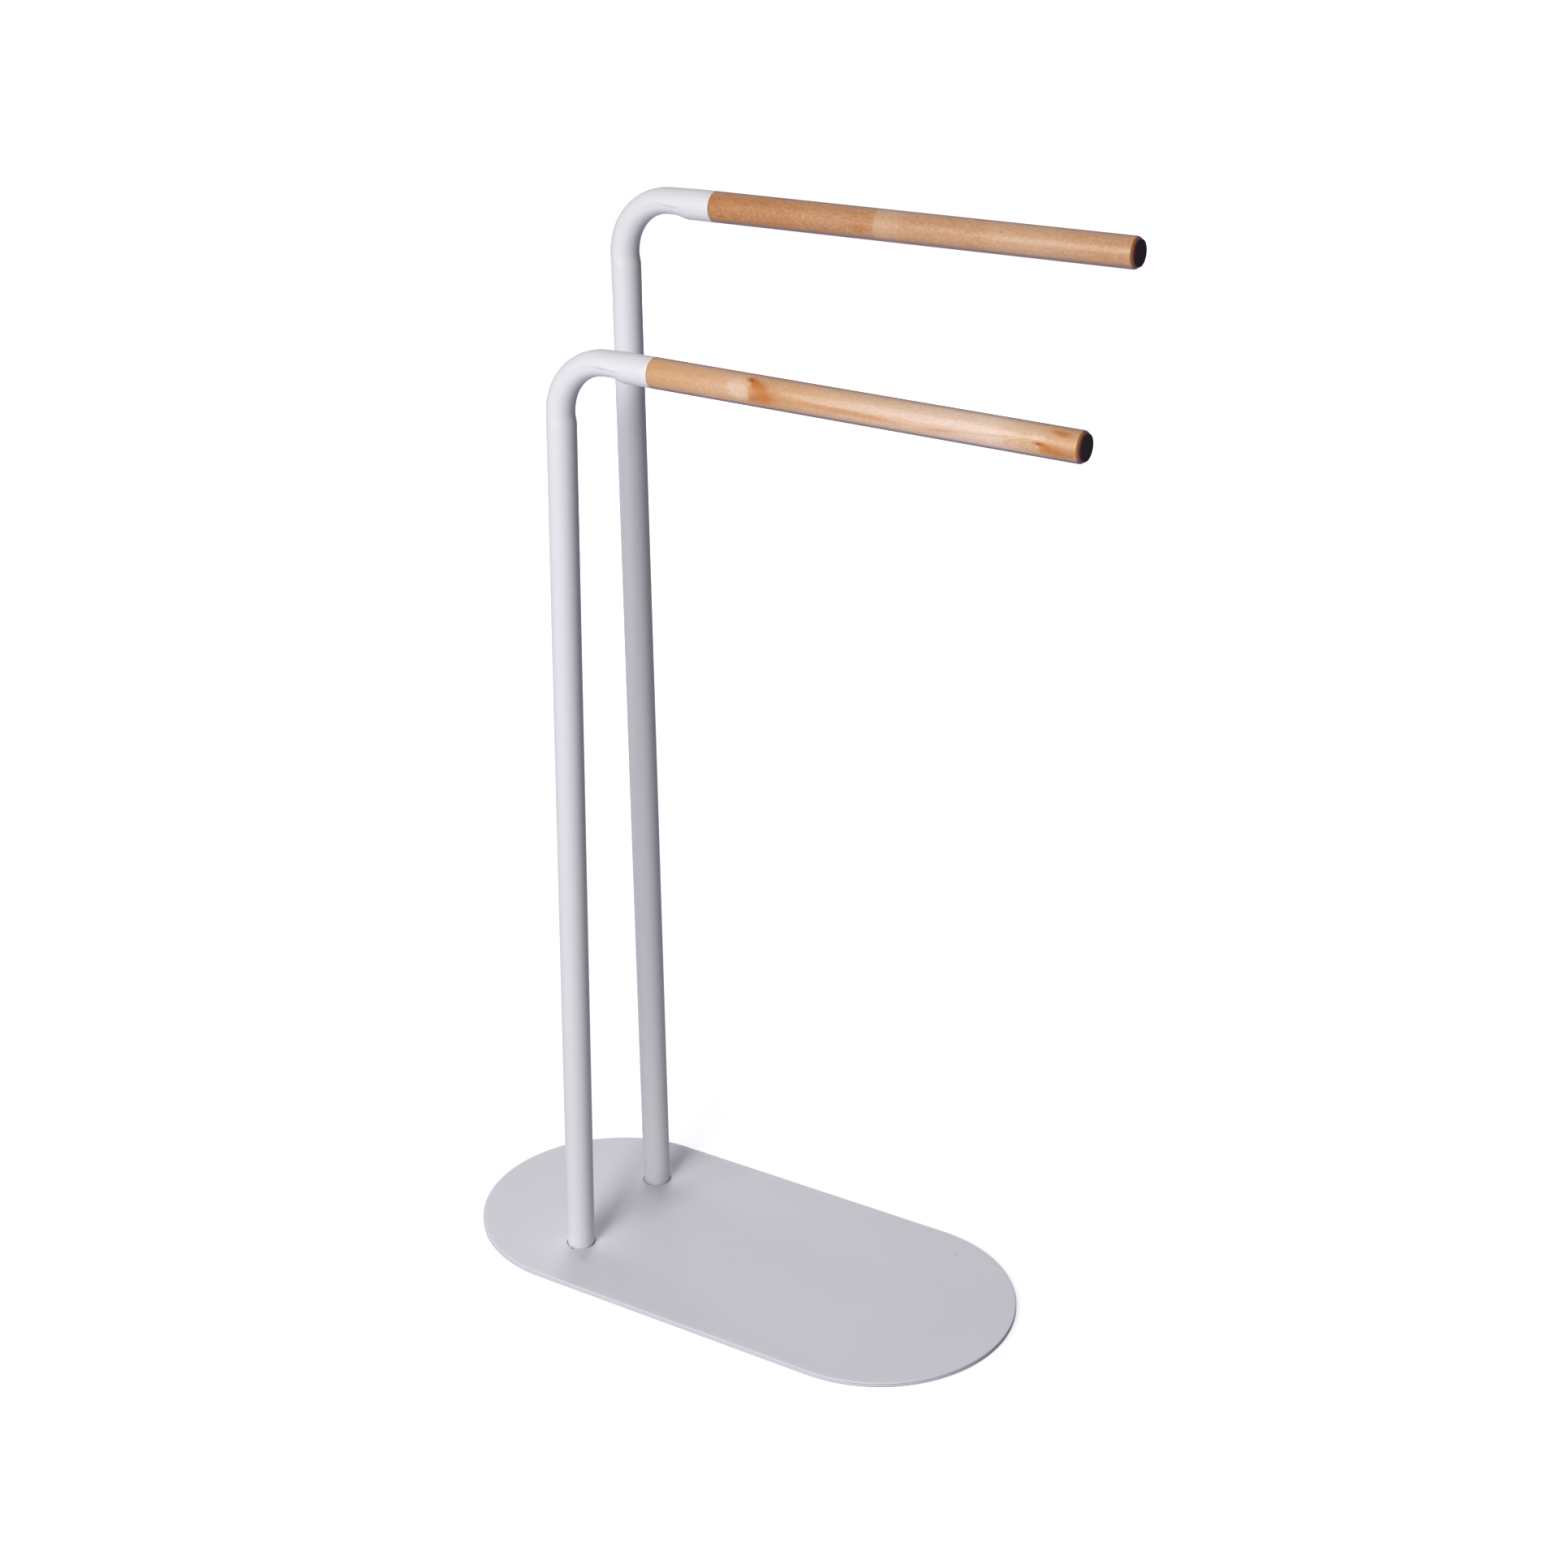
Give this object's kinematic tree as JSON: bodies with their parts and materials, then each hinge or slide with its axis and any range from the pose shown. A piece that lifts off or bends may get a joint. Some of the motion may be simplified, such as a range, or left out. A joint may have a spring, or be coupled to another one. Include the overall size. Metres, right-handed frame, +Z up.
{
  "type": "towel stand",
  "caption": "Freestanding towel stand: a flat steel base with round ends carries a taller and a shorter bent tube, each holding a round wooden bar out to one side.",
  "frame": {"origin": "on the floor, at the middle of the stand's outline seen from above", "axes": "+Z up; +X from the uprights towards the bars' tips, along the plate's length; +Y towards the taller upright's side"},
  "size_m": [0.5422, 0.218, 0.8589],
  "materials": {
    "powder_coat": "smooth semi-gloss powder coat, pale lilac grey",
    "zinc_steel": "zinc-plated",
    "wood": "turned, sanded and oiled, with fine figure and a few small knots",
    "black_plastic": "satin moulded, near black",
    "pad_foam": "matt foam rubber"
  },
  "bodies": {
    "root": {"base_plate": "powder_coat", "tall_upright": "powder_coat", "short_upright": "powder_coat", "tall_foot_plug": "zinc_steel", "short_foot_plug": "zinc_steel", "tall_base_screw": "zinc_steel", "short_base_screw": "zinc_steel", "tall_end_insert": "zinc_steel", "short_end_insert": "zinc_steel", "upper_stud": "zinc_steel", "lower_stud": "zinc_steel", "upper_bar": "wood", "lower_bar": "wood", "upper_end_cap": "black_plastic", "lower_end_cap": "black_plastic", "pad_left_front": "pad_foam", "pad_left_back": "pad_foam", "pad_mid_front": "pad_foam", "pad_mid_back": "pad_foam", "pad_right_front": "pad_foam", "pad_right_back": "pad_foam"}
  },
  "joints": []
}
